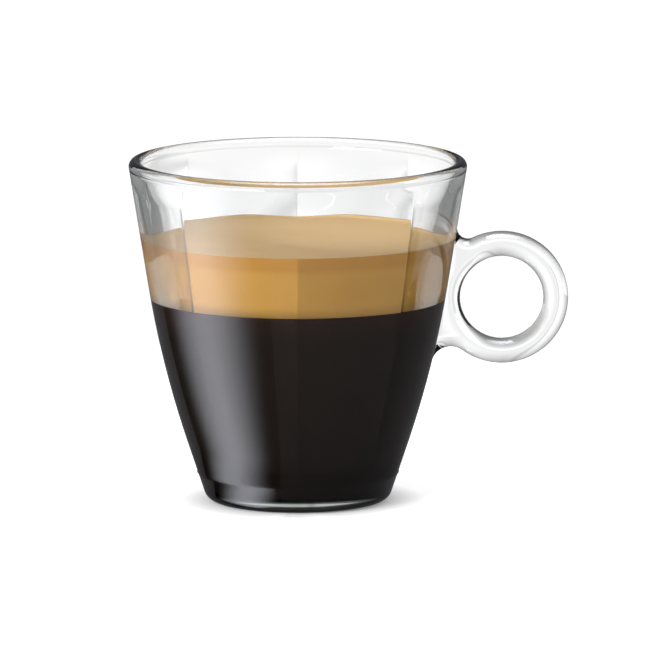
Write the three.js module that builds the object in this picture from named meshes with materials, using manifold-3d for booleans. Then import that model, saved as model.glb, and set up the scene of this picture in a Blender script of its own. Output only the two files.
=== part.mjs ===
// A glass espresso cup with a ring handle, holding an espresso under a deep crema.
// Millimetres, +Z up. The origin lies on the cup's axis at the table, and the handle points along +X.

import * as THREE from "three";
import { mergeVertices } from "three/addons/utils/BufferGeometryUtils.js";
import Module from "manifold-3d";

// The glass body, outside. It has two tapers, eased into each other by a long arc.
const CUP_HEIGHT = 69.5; // table to the top of the rim
const RIM_RADIUS = 34.4; // where the upper taper reaches the rim's height
const RIM_THICKNESS = 3; // across the bead that fire polishing leaves
const RIM_ROUNDING = 1.35;
const BEND_HEIGHT = 27.3; // where the two tapers would meet
const BEND_RADIUS = 27.6;
const BEND_ROUNDING = 200;
const FOOT_RADIUS = 18.4; // where the lower taper would meet the table
const HEEL_ROUNDING = 2.6; // wall to underside

// The glass body, inside. Panels run up the wall and end in arches, at the floor and under the rim.
const BASE_THICKNESS = 2.6;
const FLOOR_SLOPE = THREE.MathUtils.degToRad(45); // of the cone that rises from the floor to the wall
const FLOOR_ROUNDING = 4; // floor to cone
const CONE_TOP = 9.7; // where the cone would meet the edges of the panels
const CONE_ROUNDING = 8; // cone to wall
const CORNER_WALL = 1.6; // glass behind the edge between two panels
const PANEL_DEPTH = 0.85; // how much thicker the glass is at the middle of a panel
const PANEL_COUNT = 8;
const RIM_NECK = 1.9; // top of the rim to where the middle of a panel runs out
const PANEL_ARCH = 4; // how much lower the edges of a panel run out

// The handle: a ring in the XZ plane, joined to the wall by a web with two fillets.
const RING_DROP = 28.1; // top of the rim to the middle of the finger hole
const RING_HOLE_RADIUS = 8.45;
const RING_WIDTH = 5; // from the hole to the outside of the ring
const RING_STANDOFF = 2.9; // from the cup's wall to the hole
const HANDLE_DEPTH = 5.6; // across the ring, along Y
const HANDLE_FLAT = 0.3; // what the oval section leaves flat on each of its four sides
const UPPER_FILLET = 2.2; // ring to wall, above
const LOWER_FILLET = 3.9; // ring to wall, below
const ROOT_DEPTH = 5; // how far the web runs on into the wall before it is cut to fit

// The drink
const FREE_SPACE = 15.6; // top of the rim to the top of the crema
const CREMA_DEPTH = 12.6;

// Fits
const HANDLE_GAP = 0.3; // between the handle's root and the wall
const DRINK_GAP = 0.3; // between the drink and the glass, and between its two layers

// Facets
const STEPS_PER_PANEL = 8;
const ARC_STEP = THREE.MathUtils.degToRad(18);
const LEAST_ARC_STEPS = 4;
const ARCH_STEPS = 4;
const WALL_BAND = 7; // height of a band of facets on the inside wall
const LEAST_BAND = 0.2;
const RING_STEPS = 16; // for half of each arc of the handle
const BEVEL_STEPS = 4;

const turnSteps = PANEL_COUNT * STEPS_PER_PANEL;
const panelAngle = (2 * Math.PI) / PANEL_COUNT;
const panelTop = CUP_HEIGHT - RIM_NECK;
const archFoot = panelTop - PANEL_ARCH;
const ringHeight = CUP_HEIGHT - RING_DROP;
const cremaTop = CUP_HEIGHT - FREE_SPACE;
const espressoTop = cremaTop - CREMA_DEPTH;

const wasm = await Module();
wasm.setup();

// A closed mesh as a solid that can be cut. Points that coincide are shared, and flat triangles dropped.
function solidOf(geometry) {
  const bare = geometry.clone();
  bare.deleteAttribute("normal");
  bare.deleteAttribute("uv");
  const merged = mergeVertices(bare);
  const triangles = [];
  for (let i = 0; i < merged.index.count; i += 3) {
    const triangle = merged.index.array.slice(i, i + 3);
    if (new Set(triangle).size === 3) triangles.push(...triangle);
  }
  return new wasm.Manifold(
    new wasm.Mesh({
      numProp: 3,
      vertProperties: merged.attributes.position.array,
      triVerts: new Uint32Array(triangles),
    }),
  );
}

function geometryOf(solid) {
  const mesh = solid.getMesh();
  const geometry = new THREE.BufferGeometry();
  geometry.setAttribute("position", new THREE.BufferAttribute(mesh.vertProperties, 3));
  geometry.setIndex(new THREE.BufferAttribute(mesh.triVerts, 1));
  geometry.computeVertexNormals();
  return geometry;
}

// The points of an outline whose corners, each [x, y, radius], are rounded by arcs.
function roundedOutline(corners) {
  return corners.flatMap(([x, y, radius], i) => {
    const corner = new THREE.Vector2(x, y);
    if (radius === 0) return [corner];
    const back = new THREE.Vector2(...corners[i - 1]).sub(corner).normalize();
    const ahead = new THREE.Vector2(...corners[i + 1]).sub(corner).normalize();
    const half = Math.acos(back.dot(ahead)) / 2;
    const centre = back.clone().add(ahead).setLength(radius / Math.sin(half)).add(corner);
    const start = back.clone().setLength(radius / Math.tan(half)).add(corner);
    const sweep = (Math.PI - 2 * half) * Math.sign(ahead.cross(back));
    const steps = Math.max(LEAST_ARC_STEPS, Math.ceil(Math.abs(sweep) / ARC_STEP));
    return spaced(0, sweep, steps).map((angle) => start.clone().rotateAround(centre, angle));
  });
}

// Numbers from first to last, both included, in equal steps.
function spaced(first, last, steps) {
  return Array.from({ length: steps + 1 }, (_, k) => THREE.MathUtils.lerp(first, last, k / steps));
}

// The radius of a rising outline at a height.
function radiusAt(outline, height) {
  const above = outline.findIndex((p, k) => k > 0 && p.y >= height && p.y > outline[k - 1].y);
  const high = outline[above];
  const low = outline[above - 1];
  return THREE.MathUtils.mapLinear(height, low.y, high.y, low.x, high.x);
}

// The cup's side view from the table to the rim's height, set in from the outside by some glass.
function wallOutline(inset) {
  return roundedOutline([
    [FOOT_RADIUS - inset, 0, 0],
    [BEND_RADIUS - inset, BEND_HEIGHT, BEND_ROUNDING],
    [RIM_RADIUS - inset, CUP_HEIGHT, 0],
  ]);
}

const outerWall = wallOutline(0);
const cornerWall = wallOutline(CORNER_WALL);

// The floor's rounding, the cone and its rounding, up to the edges of the panels.
const coneRadius = radiusAt(cornerWall, CONE_TOP);
const floorRadius = coneRadius - (CONE_TOP - BASE_THICKNESS) / Math.tan(FLOOR_SLOPE);
const floorArc = roundedOutline([
  [0, BASE_THICKNESS, 0],
  [floorRadius, BASE_THICKNESS, FLOOR_ROUNDING],
  [coneRadius, CONE_TOP, CONE_ROUNDING],
  [BEND_RADIUS - CORNER_WALL, BEND_HEIGHT, 0],
]).slice(1, -1);
const floorTop = floorArc.at(-1).y;

// Heights of the rings of points up the inside wall.
const insideHeights = [
  ...floorArc.map((p) => p.y),
  ...spaced(floorTop, archFoot, Math.ceil((archFoot - floorTop) / WALL_BAND)).slice(1, -1),
  ...spaced(archFoot, panelTop, ARCH_STEPS),
];

// How far a panel stands in, from 0 at its edges to 1 at its middle, as a chord does in a circle.
function panelShare(azimuth) {
  const fromMiddle = THREE.MathUtils.euclideanModulo(azimuth, panelAngle) - panelAngle / 2;
  const edge = Math.cos(panelAngle / 2);
  return (1 - edge / Math.cos(fromMiddle)) / (1 - edge);
}

// The round shape that cuts the panels off: the floor's cone below, and the neck of the rim above.
function roundRadius(height) {
  if (height < floorTop) return radiusAt(floorArc, height);
  if (height <= archFoot) return Infinity;
  const wide = radiusAt(cornerWall, archFoot);
  const narrow = radiusAt(cornerWall, panelTop) - PANEL_DEPTH;
  return THREE.MathUtils.mapLinear(height, archFoot, panelTop, wide, narrow);
}

// The inside of the glass at an azimuth and a height.
function insideRadius(azimuth, height) {
  const panel = radiusAt(cornerWall, height) - PANEL_DEPTH * panelShare(azimuth);
  return Math.min(panel, roundRadius(height));
}

// A profile turned about Z. Its rings from first to last take their radius from azimuth and height.
function turned(profile, first, last, radiusOf) {
  const geometry = new THREE.LatheGeometry(profile, turnSteps);
  const place = geometry.attributes.position;
  for (let step = 0; step <= turnSteps; step++) {
    const azimuth = (2 * Math.PI * (step % turnSteps)) / turnSteps;
    for (let ring = first; ring <= last; ring++) {
      const radius = radiusOf(azimuth, profile[ring].y);
      const point = step * profile.length + ring;
      place.setX(point, radius * Math.sin(azimuth));
      place.setZ(point, radius * Math.cos(azimuth));
    }
  }
  return solidOf(geometry.rotateX(Math.PI / 2));
}

// Bowl, rim, panels and base in one piece of pressed glass.
function cupBody() {
  const rimRounding = Math.min(RIM_ROUNDING, 0.45 * RIM_THICKNESS);
  const outside = roundedOutline([
    [0, 0, 0],
    [FOOT_RADIUS, 0, HEEL_ROUNDING],
    [BEND_RADIUS, BEND_HEIGHT, BEND_ROUNDING],
    [RIM_RADIUS, CUP_HEIGHT, rimRounding],
    [RIM_RADIUS - RIM_THICKNESS, CUP_HEIGHT, rimRounding],
    [roundRadius(panelTop), panelTop, 0],
  ]).slice(0, -1);
  const edge = insideHeights.map((height) => new THREE.Vector2(insideRadius(0, height), height));
  const profile = [...outside, ...edge.reverse(), new THREE.Vector2(0, BASE_THICKNESS)];
  return turned(profile, outside.length, profile.length - 2, insideRadius);
}

// A layer of the drink, which takes the shape of the glass round it less the clearance.
function drinkLayer(low, high) {
  const radiusOf = (azimuth, height) => insideRadius(azimuth, height - DRINK_GAP) - DRINK_GAP;
  const between = insideHeights
    .map((height) => height + DRINK_GAP)
    .filter((height) => height > low + LEAST_BAND && height < high - LEAST_BAND);
  const side = [low, ...between, high].map((height) => new THREE.Vector2(radiusOf(0, height), height));
  const profile = [new THREE.Vector2(0, low), ...side, new THREE.Vector2(0, high)];
  return turned(profile, 1, side.length, radiusOf);
}

// The ring and its web, as a flat outline with rounded edges, cut to the wall that it is fused to.
function ringHandle() {
  const ringRadius = RING_HOLE_RADIUS + RING_WIDTH;
  const reach = RING_STANDOFF + RING_HOLE_RADIUS;
  const centre = new THREE.Vector2(radiusAt(outerWall, ringHeight) + reach, ringHeight);

  // A fillet touches the outside of the ring and the line that rises up the wall from a foot.
  const fillet = (foot, rise, radius, side) => {
    const out = new THREE.Vector2(rise.y, -rise.x);
    const track = foot.clone().addScaledVector(out, radius).sub(centre);
    const along = track.dot(rise);
    const climb = side * Math.sqrt(along ** 2 - track.lengthSq() + (ringRadius + radius) ** 2) - along;
    const middle = track.addScaledVector(rise, climb).add(centre);
    const touch = middle.clone().addScaledVector(out, -radius);
    return { middle, touch, root: touch.clone().addScaledVector(out, -ROOT_DEPTH) };
  };
  const wallAt = (height) => new THREE.Vector2(radiusAt(outerWall, height), height);
  const slopeBetween = (low, high) => wallAt(high).sub(wallAt(low)).normalize();
  const bend = new THREE.Vector2(BEND_RADIUS, BEND_HEIGHT);
  const upperTaper = new THREE.Vector2(RIM_RADIUS, CUP_HEIGHT).sub(bend).normalize();
  const upper = fillet(bend, upperTaper, UPPER_FILLET, 1);
  const ringFoot = ringHeight - ringRadius;
  const lowerSlope = slopeBetween(ringFoot - LOWER_FILLET, ringFoot + LOWER_FILLET);
  const lower = fillet(wallAt(ringFoot), lowerSlope, LOWER_FILLET, -1);

  const angleOf = (from, to) => Math.atan2(to.y - from.y, to.x - from.x);
  const arc = (middle, radius, from, to, clockwise) =>
    shape.absarc(middle.x, middle.y, radius, angleOf(middle, from), angleOf(middle, to), clockwise);
  const shape = new THREE.Shape();
  arc(upper.middle, UPPER_FILLET, upper.touch, centre, false);
  arc(centre, ringRadius, upper.middle, lower.middle, true);
  arc(lower.middle, LOWER_FILLET, centre, lower.touch, false);
  shape.lineTo(lower.root.x, lower.root.y);
  shape.lineTo(upper.root.x, upper.root.y);
  shape.closePath();
  shape.holes.push(new THREE.Path().absarc(centre.x, centre.y, RING_HOLE_RADIUS, 0, 2 * Math.PI));

  const inset = (RING_WIDTH - HANDLE_FLAT) / 2;
  const blank = new THREE.ExtrudeGeometry(shape, {
    depth: HANDLE_FLAT,
    curveSegments: RING_STEPS,
    bevelSize: inset,
    bevelOffset: -inset,
    bevelThickness: (HANDLE_DEPTH - HANDLE_FLAT) / 2,
    bevelSegments: BEVEL_STEPS,
  });
  blank.translate(0, 0, -HANDLE_FLAT / 2).rotateX(Math.PI / 2);

  const seat = wallOutline(-HANDLE_GAP);
  const core = turned([new THREE.Vector2(0, 0), ...seat, new THREE.Vector2(0, CUP_HEIGHT)], 0, -1);
  return solidOf(blank).subtract(core);
}

function piece(name, solid, colour, roughness) {
  const material = new THREE.MeshStandardMaterial({ color: colour, roughness, metalness: 0 });
  const mesh = new THREE.Mesh(geometryOf(solid), material);
  mesh.name = name;
  return mesh;
}

const cup = new THREE.Group();
cup.add(
  piece("cup_body", cupBody(), 0xeef1f0, 0.05),
  piece("ring_handle", ringHandle(), 0xeef1f0, 0.05),
  piece("espresso", drinkLayer(BASE_THICKNESS + DRINK_GAP, espressoTop), 0x1f1613, 0.2),
  piece("crema", drinkLayer(espressoTop + DRINK_GAP, cremaTop), 0xc9995a, 0.6),
);

export default cup;
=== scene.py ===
# A glass espresso cup with a ring handle, filled with espresso under a deep crema.
# Metres, +Z up. The cup stands on the table at Z 0 and the handle points along +X.

import math

import bmesh
import bpy
import numpy as np
from mathutils import Matrix, Vector


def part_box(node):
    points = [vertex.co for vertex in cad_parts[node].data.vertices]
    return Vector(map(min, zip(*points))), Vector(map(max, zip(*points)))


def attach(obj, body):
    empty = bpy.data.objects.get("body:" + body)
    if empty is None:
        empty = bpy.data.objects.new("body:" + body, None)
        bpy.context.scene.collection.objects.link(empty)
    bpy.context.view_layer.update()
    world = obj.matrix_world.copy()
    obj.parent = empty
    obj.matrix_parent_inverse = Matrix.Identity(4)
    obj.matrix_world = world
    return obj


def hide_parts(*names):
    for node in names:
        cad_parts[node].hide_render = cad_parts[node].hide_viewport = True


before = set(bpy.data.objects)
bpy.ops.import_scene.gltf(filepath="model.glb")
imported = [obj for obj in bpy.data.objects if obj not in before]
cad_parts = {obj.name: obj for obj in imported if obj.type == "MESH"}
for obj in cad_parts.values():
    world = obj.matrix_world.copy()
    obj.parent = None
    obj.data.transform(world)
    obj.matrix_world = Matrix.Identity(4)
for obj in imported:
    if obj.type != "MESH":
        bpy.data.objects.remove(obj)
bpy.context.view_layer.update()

# The bowl is one piece of pressed soda-lime glass. A plunger leaves eight panels inside. The mould
# leaves the outside smooth and round, with a fine seam above the heel, and a flame melts the rim
# to a soft bead.
mm = 0.001
cup_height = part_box("cup_body")[1].z
rim_radius = 34.4 * mm
rim_thickness = 3.6 * mm
rim_rounding = 1.35 * mm
rim_neck = 1.9 * mm
bend_height = 27.3 * mm
bend_radius = 27.6 * mm
bend_rounding = 200 * mm
foot_radius = 18.4 * mm
heel_rounding = 2.6 * mm
seam_height = 5.7 * mm
seam_bead = 0.15 * mm
seam_half = 0.4 * mm
base_thickness = 2.6 * mm
floor_radius = 13 * mm
floor_rounding = 4 * mm
cone_top = 9.7 * mm
cone_rounding = 8 * mm
corner_wall = 1.6 * mm
panel_count = 8
panel_angle = 2 * math.pi / panel_count
panel_depth = 0.85 * mm
panel_top = cup_height - rim_neck
panel_fade = 5 * mm
panel_rows = 20
fade_rows = 14
crease_ease = 0.06
crease_crowding = 0.8
groove_depth = 0.03 * mm
groove_width = 0.7 * mm
arch_ease = 0.7 * mm
turn_steps = 384
arc_angle = math.radians(6)
fewest_arc_steps = 10
weld = 1e-7
slack = 1e-6


def rounded(corners):
    """The points of an outline whose corners, each (x, z, radius), are rounded by arcs."""
    points = []
    for k, (x, z, radius) in enumerate(corners):
        corner = Vector((x, z))
        if radius == 0:
            points.append(corner)
            continue
        back = (Vector(corners[k - 1][:2]) - corner).normalized()
        ahead = (Vector(corners[k + 1][:2]) - corner).normalized()
        half = back.angle(ahead) / 2
        centre = corner + (back + ahead).normalized() * (radius / math.sin(half))
        spoke = corner + back * (radius / math.tan(half)) - centre
        left = ahead.x * back.y - ahead.y * back.x
        sweep = math.copysign(math.pi - 2 * half, left)
        steps = max(fewest_arc_steps, math.ceil(abs(sweep) / arc_angle))
        for step in range(steps + 1):
            points.append(centre + Matrix.Rotation(sweep * step / steps, 2) @ spoke)
    return points


def radius_at(outline, height):
    """The radius of a rising outline at a height."""
    radii, heights = outline
    return float(np.interp(height, heights, radii))


def eased(share):
    """A share held between 0 and 1, with soft ends."""
    share = min(max(share, 0), 1)
    return share * share * (3 - 2 * share)


def soft_max(a, b, ease):
    """The larger of two values, with the crease between them eased."""
    overlap = max(ease - abs(a - b), 0) / ease
    return max(a, b) + overlap * overlap * ease / 4


def wall_outline(inset):
    """The side view of the wall from the table to the rim, set in by some glass."""
    return rounded([
        (foot_radius - inset, 0, 0),
        (bend_radius - inset, bend_height, bend_rounding),
        (rim_radius - inset, cup_height, 0),
    ])


outer_outline = np.transpose(wall_outline(0))
corner_outline = np.transpose(wall_outline(corner_wall))
floor_points = rounded([
    (0, base_thickness, 0),
    (floor_radius, base_thickness, floor_rounding),
    (radius_at(corner_outline, cone_top), cone_top, cone_rounding),
    (bend_radius - corner_wall, bend_height, 0),
])[1:-1]
floor_outline = np.transpose(floor_points)
floor_top = floor_points[-1].y


def inside_radius(azimuth, height):
    """The inside of the glass: flat panels that fade out under the rim and end at the floor.

    A panel's share is 0 at the edges that it has in common with its neighbours.
    """
    edge = math.cos(panel_angle / 2)
    middle = azimuth % panel_angle - panel_angle / 2
    here, last, following = [
        (1 - edge / math.cos(middle + k * panel_angle)) / (1 - edge) for k in (0, -1, 1)
    ]
    share = soft_max(soft_max(here, last, crease_ease), following, crease_ease)
    corner = radius_at(corner_outline, height)
    from_edge = (panel_angle / 2 - abs(middle)) * corner
    groove = groove_depth * math.exp(-(from_edge / groove_width) ** 2)
    fade = eased((panel_top - height) / panel_fade)
    radius = corner - panel_depth * (1 - fade + fade * share) + fade * groove
    if height < floor_top:
        radius = -soft_max(-radius, -radius_at(floor_outline, height), arch_ease)
    return radius


inside_heights = [p.y for p in floor_points]
inside_heights += list(np.linspace(floor_top, panel_top - panel_fade, panel_rows)[1:-1])
inside_heights += list(np.linspace(panel_top - panel_fade, panel_top, fade_rows))


def turned(outline):
    """A bmesh of an outline of (radius, height) points, spun once round Z and closed."""
    bm = bmesh.new()
    verts = [bm.verts.new((p.x, 0, p.y)) for p in outline]
    edges = [bm.edges.new(pair) for pair in zip(verts, verts[1:])]
    bmesh.ops.spin(
        bm, geom=verts + edges, cent=(0, 0, 0), axis=(0, 0, 1),
        angle=2 * math.pi, steps=turn_steps, use_merge=True,
    )
    bmesh.ops.remove_doubles(bm, verts=bm.verts, dist=weld)
    bmesh.ops.recalc_face_normals(bm, faces=bm.faces)
    if bm.calc_volume(signed=True) < 0:
        bmesh.ops.reverse_faces(bm, faces=bm.faces)
    return bm


def shape_inside(bm, clear):
    """Moves the points inside the wall from its turned outline to the panels, or a little beyond.

    All points are crowded towards the creases first, where the shape is finest.
    """
    for vert in bm.verts:
        radius = math.hypot(vert.co.x, vert.co.y)
        turn = math.atan2(vert.co.y, vert.co.x) / panel_angle
        azimuth = panel_angle * (turn - crease_crowding * math.sin(2 * math.pi * turn) / (2 * math.pi))
        vert.co.x = radius * math.cos(azimuth)
        vert.co.y = radius * math.sin(azimuth)
        inner = radius < radius_at(corner_outline, vert.co.z) + corner_wall / 2
        if inner and vert.co.z < panel_top + slack:
            reach = (inside_radius(azimuth, vert.co.z) + clear) / inside_radius(0, vert.co.z)
            vert.co.x *= reach
            vert.co.y *= reach


def placed(bm, name, material):
    """A finished object from a bmesh, smooth and in its place."""
    for face in bm.faces:
        face.smooth = True
    mesh = bpy.data.meshes.new(name)
    bm.to_mesh(mesh)
    bm.free()
    mesh.materials.append(material)
    made = bpy.data.objects.new(name, mesh)
    bpy.context.scene.collection.objects.link(made)
    return made


def linear(code):
    """An sRGB hex colour as linear RGBA."""
    parts = [int(code[k:k + 2], 16) / 255 for k in (1, 3, 5)]
    return [c / 12.92 if c <= 0.04045 else ((c + 0.055) / 1.055) ** 2.4 for c in parts] + [1]


def node(tree, kind, inputs, **settings):
    """Adds a node. An input is a number, a colour or another node's output."""
    made = tree.nodes.new("ShaderNode" + kind)
    for key, value in settings.items():
        setattr(made, key, value)
    for key, value in inputs.items():
        if isinstance(value, bpy.types.NodeSocket):
            tree.links.new(value, made.inputs[key])
        else:
            made.inputs[key].default_value = value
    return made


# Pressed glass: clear, with a faint grey-green in its depth and slow ripples left by the mould.
ripple = 9 * mm
ripple_depth = 0.1 * mm
glass = bpy.data.materials.new("pressed_soda_lime_glass")
glass.use_nodes = True
tree = glass.node_tree
shader = tree.nodes["Principled BSDF"]
shader.inputs["Base Color"].default_value = linear("#ffffff")
shader.inputs["Roughness"].default_value = 0.0
shader.inputs["IOR"].default_value = 1.5
shader.inputs["Transmission Weight"].default_value = 1
place = node(tree, "TexCoord", {})
waves = node(tree, "TexNoise", {"Vector": place.outputs["Object"], "Scale": 1 / ripple, "Detail": 1})
bump = node(
    tree, "Bump", {"Height": waves.outputs["Fac"], "Strength": 0.15, "Distance": ripple_depth},
)
tree.links.new(bump.outputs["Normal"], shader.inputs["Normal"])
depth = node(tree, "VolumeAbsorption", {"Color": linear("#dadddb"), "Density": 60})
tree.links.new(depth.outputs["Volume"], tree.nodes["Material Output"].inputs["Volume"])

seam_low = seam_height - seam_half
seam_high = seam_height + seam_half
bowl_outline = rounded([
    (0, 0, 0),
    (foot_radius, 0, heel_rounding),
    (radius_at(outer_outline, seam_low), seam_low, 0),
    (radius_at(outer_outline, seam_height) + seam_bead, seam_height, 0),
    (radius_at(outer_outline, seam_high), seam_high, 0),
    (bend_radius, bend_height, bend_rounding),
    (rim_radius, cup_height, rim_rounding),
    (rim_radius - rim_thickness, cup_height, rim_rounding),
    (inside_radius(0, panel_top), panel_top, 0),
])[:-1]
inside = [Vector((inside_radius(0, height), height)) for height in inside_heights]
bm = turned(bowl_outline + inside[::-1] + [Vector((0, base_thickness))])
shape_inside(bm, 0)
bowl = placed(bm, "glass_bowl", glass)
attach(bowl, "root")
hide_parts("cup_body")

# The finger ring is glass too, pressed as a flat ring of oval section. A web with two fillets
# joins it to the wall. On the real cup the two are one glass, so only a hair's gap is left here.
ring_drop = 28.1 * mm
ring_height = cup_height - ring_drop
hole_radius = 8.45 * mm
ring_width = 5 * mm
standoff = 2.9 * mm
handle_depth = 5.6 * mm
handle_flat = 0.3 * mm
upper_fillet = 2.2 * mm
lower_fillet = 3.9 * mm
root_depth = 5 * mm
root_sink = 0.8 * mm
seat_gap = 0.05 * mm
fullness = 0.92
steep_start = 0.26
steep_span = 0.56
steep_share = 0.65
arc_steps = 48
edge_steps = 14
few_corners = 8


def arc(centre, radius, start, end):
    """Points of an arc about a centre, from one direction to another, ends included."""
    angles = np.linspace(start, end, arc_steps + 1)
    return [centre + Vector((math.cos(a), math.sin(a))) * radius for a in angles]


def heading(start, end):
    """The direction from one point to another, as an angle."""
    return math.atan2(end.y - start.y, end.x - start.x)


ring_radius = hole_radius + ring_width
wall_here = radius_at(outer_outline, ring_height)
ring_centre = Vector((wall_here + standoff + hole_radius, ring_height))


def fillet(foot, rise, radius, side):
    """The arc between the outside of the ring and the line that rises up the wall from a foot.

    Gives its middle, the point where it touches the wall and the way out of the wall.
    """
    out = Vector((rise.y, -rise.x))
    track = foot + out * radius - ring_centre
    along = track.dot(rise)
    climb = side * math.sqrt(along ** 2 - track.length_squared + (ring_radius + radius) ** 2) - along
    middle = ring_centre + track + rise * climb
    return middle, middle - out * radius, out


def wall_at(height):
    """The point of the wall's outside at a height."""
    return Vector((radius_at(outer_outline, height), height))


bend = Vector((bend_radius, bend_height))
rise = (Vector((rim_radius, cup_height)) - bend).normalized()
upper, upper_touch, out = fillet(bend, rise, upper_fillet, 1)
ring_foot = ring_height - ring_radius
low_rise = (wall_at(ring_foot + lower_fillet) - wall_at(ring_foot - lower_fillet)).normalized()
lower, lower_touch, low_out = fillet(wall_at(ring_foot), low_rise, lower_fillet, -1)

# The outline runs down from the upper fillet round the ring to the lower one, then through the wall.
upper_end = heading(upper, ring_centre) + 2 * math.pi
outline = arc(upper, upper_fillet, heading(upper, upper_touch), upper_end)
outline += arc(ring_centre, ring_radius, heading(ring_centre, upper), heading(ring_centre, lower))[1:]
outline += arc(lower, lower_fillet, heading(lower, ring_centre), heading(lower, lower_touch))[1:]
low_root = lower_touch - low_rise * root_depth
top_root = upper_touch + rise * root_depth
outline += [low_root - low_out * root_sink, low_root - low_out * 2 * root_depth]
outline += [top_root - out * 2 * root_depth, top_root - out * root_sink]

# Two faces that meet over and under the hole make the flat ring. A short lift gives it an edge.
ring_top = ring_centre + Vector((0, ring_radius))
ring_low = ring_centre - Vector((0, ring_radius))
top_at = min(range(len(outline)), key=lambda k: (outline[k] - ring_top).length)
low_at = min(range(len(outline)), key=lambda k: (outline[k] - ring_low).length)
hole = arc(ring_centre, hole_radius, math.pi / 2, -math.pi * 3 / 2)[:-1]
half_hole = len(hole) // 2
bm = bmesh.new()
outer_loop = [bm.verts.new((p.x, 0, p.y)) for p in outline]
hole_loop = [bm.verts.new((p.x, 0, p.y)) for p in hole]
near_wall = outer_loop[low_at:] + outer_loop[:top_at + 1]
bm.faces.new(outer_loop[top_at:low_at + 1] + hole_loop[half_hole::-1])
bm.faces.new(near_wall + hole_loop[:1] + hole_loop[:half_hole - 1:-1])
grown = bmesh.ops.extrude_face_region(bm, geom=bm.faces[:])
raised = [item for item in grown["geom"] if isinstance(item, bmesh.types.BMVert)]
bmesh.ops.translate(bm, vec=(0, handle_flat, 0), verts=raised)
bmesh.ops.translate(bm, vec=(0, -handle_flat / 2, 0), verts=bm.verts)
bmesh.ops.recalc_face_normals(bm, faces=bm.faces)

# Both sides are then drawn in and out, step by step, to the oval of the section.
half_width = (ring_width - handle_flat) / 2
crown = (handle_depth - handle_flat) / 2
angles = np.linspace(0, math.pi / 2, edge_steps + 1)
for low, high in zip(angles, angles[1:]):
    caps = [f for f in bm.faces if len(f.verts) > few_corners]
    bmesh.ops.inset_region(
        bm, faces=caps, use_boundary=True, use_even_offset=True,
        thickness=half_width * (math.cos(low) ** fullness - math.cos(high) ** fullness),
        depth=crown * (math.sin(high) ** fullness - math.sin(low) ** fullness),
    )

# The edge of the hole is steeper on the side of the wall.
for vert in bm.verts:
    spoke = Vector((vert.co.x, vert.co.z)) - ring_centre
    if spoke.length < hole_radius + half_width + slack:
        squeeze = 1 - steep_share * eased((-spoke.x / spoke.length - steep_start) / steep_span)
        spoke *= (hole_radius + (spoke.length - hole_radius) * squeeze) / spoke.length
        vert.co.x = ring_centre.x + spoke.x
        vert.co.z = ring_centre.y + spoke.y
handle = placed(bm, "glass_ring_handle", glass)

core = placed(
    turned([Vector((0, 0)), *wall_outline(-seat_gap), Vector((0, cup_height))]), "wall_core", glass,
)
cut = handle.modifiers.new("fit_to_wall", "BOOLEAN")
cut.operation = "DIFFERENCE"
cut.solver = "MANIFOLD"
cut.object = core
fitted = bpy.data.meshes.new_from_object(handle.evaluated_get(bpy.context.evaluated_depsgraph_get()))
handle.modifiers.clear()
handle.data = fitted
bpy.data.objects.remove(core)
# The gloss of the wall shows no mirror image of the ring.
handle.visible_glossy = False
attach(handle, "root")
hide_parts("ring_handle")

# The espresso fills the bottom of the bowl up to the crema. It wets the glass, so its side is
# the inside of the panels, and it is so dark that light gets only a little way into it.
wetting = 0.05 * mm
row_gap = 0.2 * mm
coffee_top = (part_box("espresso")[1].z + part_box("crema")[0].z) / 2

# Black coffee: nearly black and smooth, with browner clouds just under the foam.
cloud_depth = 5 * mm
cloud = 14 * mm
coffee = bpy.data.materials.new("black_coffee")
coffee.use_nodes = True
tree = coffee.node_tree
shader = tree.nodes["Principled BSDF"]
shader.inputs["Roughness"].default_value = 0.12
shader.inputs["IOR"].default_value = 1.34
shader.inputs["Specular IOR Level"].default_value = 0.1
place = node(tree, "TexCoord", {})
height = node(tree, "SeparateXYZ", {"Vector": place.outputs["Object"]})
near_foam = node(
    tree, "MapRange",
    {"Value": height.outputs["Z"], "From Min": coffee_top - cloud_depth, "From Max": coffee_top},
)
clouds = node(tree, "TexNoise", {"Vector": place.outputs["Object"], "Scale": 1 / cloud, "Detail": 3})
share = node(
    tree, "Math", {0: near_foam.outputs["Result"], 1: clouds.outputs["Fac"]}, operation="MULTIPLY",
)
tone = node(
    tree, "Mix", {"Factor": share.outputs["Value"], "A": linear("#29211c"), "B": linear("#3f2a20")},
    data_type="RGBA",
)
tree.links.new(tone.outputs["Result"], shader.inputs["Base Color"])

heights = [h for h in inside_heights if h < coffee_top - row_gap] + [coffee_top]
coffee_side = [Vector((inside_radius(0, h), h)) for h in heights]
bm = turned([Vector((0, base_thickness - wetting)), *coffee_side, Vector((0, coffee_top))])
shape_inside(bm, wetting)
espresso = placed(bm, "espresso_coffee", coffee)
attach(espresso, "root")
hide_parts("espresso")

# The crema is a foam of fine bubbles that floats on the coffee. Its bubbles keep a film of air at
# the glass, through which the panels' edges show, and its top edge climbs the wall a little and
# dries there to a browner ring.
crema_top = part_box("crema")[1].z
foam_gap = 0.05 * mm
meniscus = 0.5 * mm
meniscus_width = 2 * mm
meniscus_rows = 8
lip = 0.12 * mm

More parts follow.
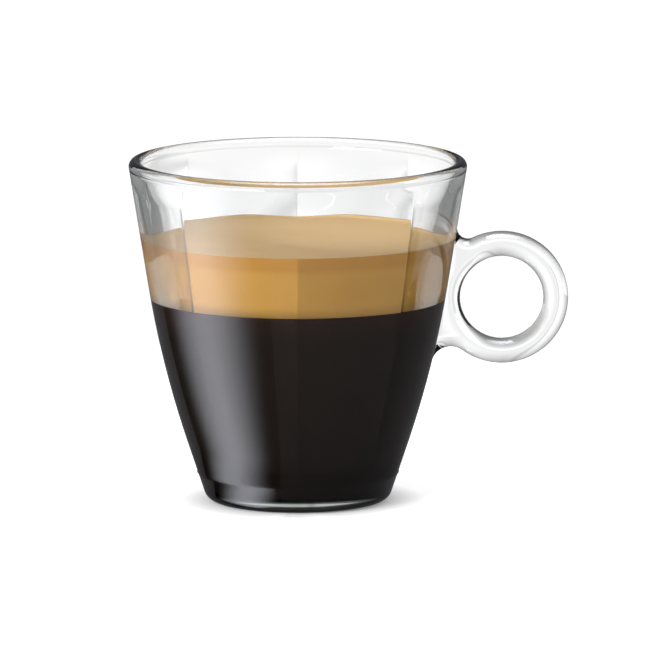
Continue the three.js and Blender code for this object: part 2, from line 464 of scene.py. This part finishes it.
# Coffee foam: soft and matt, golden through the glass, with a painted sheen on top: faces
# that look up are painted paler, for the bright room they catch. Real bubbles are finer and are drawn at
# this size so that they show.
dried_depth = 2 * mm
dried_fade = 4 * mm
patch = 10 * mm
bubble = 0.35 * mm
bubble_depth = 0.05 * mm
foam = bpy.data.materials.new("crema_foam")
foam.use_nodes = True
tree = foam.node_tree
shader = tree.nodes["Principled BSDF"]
shader.inputs["Roughness"].default_value = 0.55
shader.inputs["IOR"].default_value = 1.34
shader.inputs["Specular IOR Level"].default_value = 0.2
place = node(tree, "TexCoord", {})
height = node(tree, "SeparateXYZ", {"Vector": place.outputs["Object"]})
mottle = node(tree, "TexNoise", {"Vector": place.outputs["Object"], "Scale": 1 / patch, "Detail": 5})
golden = node(
    tree, "Mix", {"Factor": mottle.outputs["Fac"], "A": linear("#dba140"), "B": linear("#e9b555")},
    data_type="RGBA",
)
ring = node(
    tree, "MapRange",
    {
        "Value": height.outputs["Z"],
        "From Min": crema_top - dried_fade, "From Max": crema_top - dried_depth,
    },
    interpolation_type="SMOOTHSTEP",
)
dried = node(
    tree, "Mix",
    {"Factor": ring.outputs["Result"], "A": golden.outputs["Result"], "B": linear("#d89c40")},
    data_type="RGBA",
)
# Painted sheen: the paler tone that faces looking up are given, for the light that the top of the foam
# catches.
painted_sheen_tone = node(
    tree, "Mix", {"Factor": mottle.outputs["Fac"], "A": linear("#bd9a63"), "B": linear("#cdae7e")},
    data_type="RGBA",
)
facing = node(tree, "SeparateXYZ", {"Vector": place.outputs["Normal"]})
painted_sheen_mask = node(tree, "MapRange", {"Value": facing.outputs["Z"], "From Min": 0.2, "From Max": 0.6})
tone = node(
    tree, "Mix",
    {"Factor": painted_sheen_mask.outputs["Result"], "A": dried.outputs["Result"], "B": painted_sheen_tone.outputs["Result"]},
    data_type="RGBA",
)
tree.links.new(tone.outputs["Result"], shader.inputs["Base Color"])
bubbles = node(tree, "TexVoronoi", {"Vector": place.outputs["Object"], "Scale": 1 / bubble})
bump = node(
    tree, "Bump", {"Height": bubbles.outputs["Distance"], "Strength": 0.2, "Distance": bubble_depth},
)
tree.links.new(bump.outputs["Normal"], shader.inputs["Normal"])

heights = [h for h in inside_heights if coffee_top + row_gap < h < crema_top - row_gap]
heights = [coffee_top, *heights, crema_top - lip, crema_top]
crema_side = [Vector((inside_radius(0, h), h)) for h in heights]
crema_edge = [
    crema_side[-1] + Vector((-meniscus_width * k, -meniscus * (1 - (1 - k) ** 3)))
    for k in np.linspace(0, 1, meniscus_rows + 1)[1:]
]
crema_middle = Vector((0, crema_top - meniscus))
bm = turned([Vector((0, coffee_top)), *crema_side, *crema_edge, crema_middle])
shape_inside(bm, -foam_gap)
crema = placed(bm, "crema_foam", foam)
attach(crema, "root")
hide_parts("crema")

# The table is a matt white sheet in a white studio. Seen straight, both are white. The glass bends
# the eye's rays to other parts of the room, which is dim at its flanks and overhead, bright at the
# wings of the backdrop and darker at a joint in it, and these draw the grey lines in the glass.
flank_place = 0.8
flank_level = 0.42
overhead_level = 0.4
wing_level = 1.28
joint_place = -0.1
joint_level = 0.75
glass_level = 1.03
mirror_level = 0.42


def seen(tree, direction):
    """How white the table and the room look to the eye, and 0 for the light on a surface."""
    path = node(tree, "LightPath", {})
    parts = node(tree, "SeparateXYZ", {"Vector": direction})
    side = node(tree, "Math", {0: parts.outputs["X"]}, operation="ABSOLUTE")
    past_flank = node(tree, "Math", {0: side.outputs["Value"], 1: flank_place}, operation="SUBTRACT")
    off_flank = node(tree, "Math", {0: past_flank.outputs["Value"]}, operation="ABSOLUTE")
    flank = node(
        tree, "MapRange",
        {"Value": off_flank.outputs["Value"], "From Min": 0.05, "From Max": 0.6, "To Min": flank_level},
    )
    overhead = node(
        tree, "MapRange",
        {
            "Value": parts.outputs["Z"], "From Min": -0.05, "From Max": 0.6,
            "To Min": 1, "To Max": overhead_level,
        },
    )
    past_joint = node(tree, "Math", {0: parts.outputs["X"], 1: joint_place}, operation="SUBTRACT")
    off_joint = node(tree, "Math", {0: past_joint.outputs["Value"]}, operation="ABSOLUTE")
    joint = node(
        tree, "MapRange",
        {"Value": off_joint.outputs["Value"], "From Min": 0.01, "From Max": 0.045, "To Min": joint_level},
    )
    wings = node(
        tree, "MapRange",
        {"Value": side.outputs["Value"], "From Max": 0.2, "To Min": 1, "To Max": wing_level},
    )
    mirrored = node(
        tree, "MapRange",
        {"Value": path.outputs["Glossy Depth"], "To Min": glass_level, "To Max": mirror_level},
    )
    bent = flank.outputs["Result"]
    for level in (overhead, joint, wings, mirrored):
        both = node(tree, "Math", {0: bent, 1: level.outputs["Result"]}, operation="MULTIPLY")
        bent = both.outputs["Value"]
    white = node(tree, "Math", {0: bent, 1: path.outputs["Is Camera Ray"]}, operation="MAXIMUM")
    first = node(tree, "Math", {0: path.outputs["Diffuse Depth"], 1: 0.5}, operation="LESS_THAN")
    looked_at = node(
        tree, "Math", {0: white.outputs["Value"], 1: first.outputs["Value"]}, operation="MULTIPLY",
    )
    return looked_at.outputs["Value"]


# White paper: matt and even. It glows as far as the eye needs to see it white. Close to the
# foot its glow fades and its colour is painted dark, a painted shadow where the cup shades it.
table_radius = 200 * mm
table_drop = 0.05 * mm
glow_start = 14 * mm
glow_reach = 150 * mm
glow_reach_straight = 26 * mm
glow_level = 0.58
glow_level_straight = 0.72
shade_start = 16 * mm
shade_reach = 70 * mm
shade_level = 0.15
sheet = bpy.data.materials.new("white_paper_sheet")
sheet.use_nodes = True
tree = sheet.node_tree
shader = tree.nodes["Principled BSDF"]
shader.inputs["Roughness"].default_value = 0.9
shader.inputs["Specular IOR Level"].default_value = 0.1
shader.inputs["Emission Color"].default_value = linear("#ffffff")
place = node(tree, "TexCoord", {})
away = node(tree, "VectorMath", {0: place.outputs["Object"]}, operation="LENGTH")
direction = node(tree, "VectorMath", {0: place.outputs["Object"]}, operation="NORMALIZE")
path = node(tree, "LightPath", {})
straight = path.outputs["Is Camera Ray"]
reach = node(
    tree, "MapRange", {"Value": straight, "To Min": glow_reach, "To Max": glow_reach_straight},
)
brightest = node(
    tree, "MapRange", {"Value": straight, "To Min": glow_level, "To Max": glow_level_straight},
)
glow = node(
    tree, "MapRange",
    {
        "Value": away.outputs["Value"], "From Min": glow_start, "From Max": reach.outputs["Result"],
        "To Max": brightest.outputs["Result"],
    },
)
# The sheet's glow is painted light. As the glass shows it, it is painted dim at the flanks, overhead and
# at the joint, and brighter at the wings.
white = node(
    tree, "Math", {0: glow.outputs["Result"], 1: seen(tree, direction.outputs["Vector"])},
    operation="MULTIPLY",
)
tree.links.new(white.outputs["Value"], shader.inputs["Emission Strength"])
# Painted shadow: close to the foot the sheet's colour is painted dark, except where the eye sees it
# straight.
shade = node(
    tree, "MapRange",
    {
        "Value": away.outputs["Value"], "From Min": shade_start, "From Max": shade_reach,
        "To Min": shade_level,
    },
)
clear = node(tree, "Math", {0: shade.outputs["Result"], 1: straight}, operation="MAXIMUM")
paper = node(
    tree, "Mix", {"Factor": clear.outputs["Value"], "A": linear("#000000"), "B": linear("#b4b4b4")},
    data_type="RGBA",
)
tree.links.new(paper.outputs["Result"], shader.inputs["Base Color"])
bm = bmesh.new()
bmesh.ops.create_circle(bm, cap_ends=True, segments=128, radius=table_radius)
bmesh.ops.translate(bm, vec=(0, 0, -table_drop), verts=bm.verts)
table = placed(bm, "table", sheet)
table.visible_glossy = False

# The room throws a soft light on the cup, stronger from behind on the right.
bright_side = (0.89, 0.45, 0)
world = bpy.data.worlds.new("studio")
bpy.context.scene.world = world
world.use_nodes = True
tree = world.node_tree
place = node(tree, "TexCoord", {})
path = node(tree, "LightPath", {})
lit = node(tree, "Math", {0: path.outputs["Diffuse Depth"], 1: 0.5}, operation="GREATER_THAN")
toward = node(
    tree, "VectorMath", {0: place.outputs["Generated"], 1: bright_side}, operation="DOT_PRODUCT",
)
ambient = node(
    tree, "MapRange", {"Value": toward.outputs["Value"], "From Min": 0.3, "To Min": 0.56, "To Max": 1.9},
)
level = node(
    tree, "Math",
    {0: lit.outputs["Value"], 1: ambient.outputs["Result"], 2: seen(tree, place.outputs["Generated"])},
    operation="MULTIPLY_ADD",
)
sky = tree.nodes["Background"]
sky.inputs["Color"].default_value = linear("#ffffff")
tree.links.new(level.outputs["Value"], sky.inputs["Strength"])


def card(name, shape, strength, fade=(0, 0, 0), turn=0, falloff=1):
    """A lit cloth of the studio that only shows in the gloss of the glass.

    It fades out towards the distance 1 from its middle, in its own axes scaled by fade.
    """
    # Diffuser cloth: shines softly with a cool white and throws nothing back.
    cloth = bpy.data.materials.new("diffuser_cloth")
    cloth.use_nodes = True
    tree = cloth.node_tree
    shader = tree.nodes["Principled BSDF"]
    shader.inputs["Base Color"].default_value = linear("#000000")
    shader.inputs["Specular IOR Level"].default_value = 0
    shader.inputs["Emission Color"].default_value = linear("#f3f5ff")
    place = node(tree, "TexCoord", {})
    scaled = node(tree, "VectorMath", {0: place.outputs["Object"], 1: fade}, operation="MULTIPLY")
    away = node(tree, "VectorMath", {0: scaled.outputs["Vector"]}, operation="LENGTH")
    feather = node(
        tree, "MapRange",
        {"Value": away.outputs["Value"], "From Min": 1, "From Max": 0},
        interpolation_type="SMOOTHSTEP",
    )
    soft = node(tree, "Math", {0: feather.outputs["Result"], 1: falloff}, operation="POWER")
    shine = node(tree, "Math", {0: soft.outputs["Value"], 1: strength}, operation="MULTIPLY")
    tree.links.new(shine.outputs["Value"], shader.inputs["Emission Strength"])
    made = placed(shape, name, cloth)
    made.rotation_euler.z = math.radians(turn)
    made.visible_camera = False
    made.visible_diffuse = False
    made.visible_transmission = False
    made.visible_shadow = False
    return made


# The glass mirrors a dim room, a strip light on the left and a softbox overhead.
room_radius = 3
bm = bmesh.new()
bmesh.ops.create_icosphere(bm, subdivisions=3, radius=room_radius)
card("dark_surround", bm, 0.12)

strip_width = 3
strip_top = -0.15
strip_foot = -2.2
strip_distance = 1
bm = bmesh.new()
bmesh.ops.create_grid(bm, x_segments=1, y_segments=1, size=0.5)
bmesh.ops.scale(bm, vec=(strip_width, strip_top - strip_foot, 1), verts=bm.verts)
bmesh.ops.rotate(bm, cent=(0, 0, 0), matrix=Matrix.Rotation(math.pi / 2, 3, "X"), verts=bm.verts)
bmesh.ops.translate(bm, vec=(0, -strip_distance, (strip_top + strip_foot) / 2), verts=bm.verts)
card("left_strip", bm, 5, fade=(2 / strip_width, 0, 0), turn=-78, falloff=3)

overhead_radius = 0.7
overhead_height = 1
bm = bmesh.new()
bmesh.ops.create_circle(bm, cap_ends=True, segments=64, radius=overhead_radius)
bmesh.ops.translate(bm, vec=(0, 0, overhead_height), verts=bm.verts)
card("overhead_softbox", bm, 14, fade=(1 / overhead_radius, 1 / overhead_radius, 0))


def lamp(name, place, aim, size, watts):
    """A soft rectangular lamp that shines from a place towards a point and leaves no glint."""
    light = bpy.data.lights.new(name, "AREA")
    light.shape = "RECTANGLE"
    light.size, light.size_y = size
    light.energy = watts
    made = bpy.data.objects.new(name, light)
    made.location = place
    made.rotation_euler = (Vector(aim) - Vector(place)).to_track_quat("-Z", "Y").to_euler()
    made.visible_glossy = False
    bpy.context.scene.collection.objects.link(made)


cup_middle = (0, 0, 0.04)
lamp("key_softbox", (-1.15, -1.15, 0.87), cup_middle, (1.2, 0.7), 45)
lamp("fill_softbox", (1.4, -1.0, 1.2), cup_middle, (0.9, 0.9), 1.5)

bpy.context.scene.view_settings.view_transform = "Standard"
bpy.context.scene.cycles.max_bounces = 24
bpy.context.scene.cycles.transmission_bounces = 24
bpy.context.scene.cycles.glossy_bounces = 8

# The camera stands far off with a long lens, a little above the rim, with the handle on its right.
elevation = math.radians(9)
distance = 2
aim = Vector((0.0075, 0, 0.0345))
camera = bpy.data.objects.new("camera", bpy.data.cameras.new("camera"))
camera.data.lens = 531
camera.location = aim + Vector((0, -math.cos(elevation), math.sin(elevation))) * distance
camera.rotation_euler = (math.pi / 2 - elevation, 0, 0)
bpy.context.scene.collection.objects.link(camera)
bpy.context.scene.camera = camera
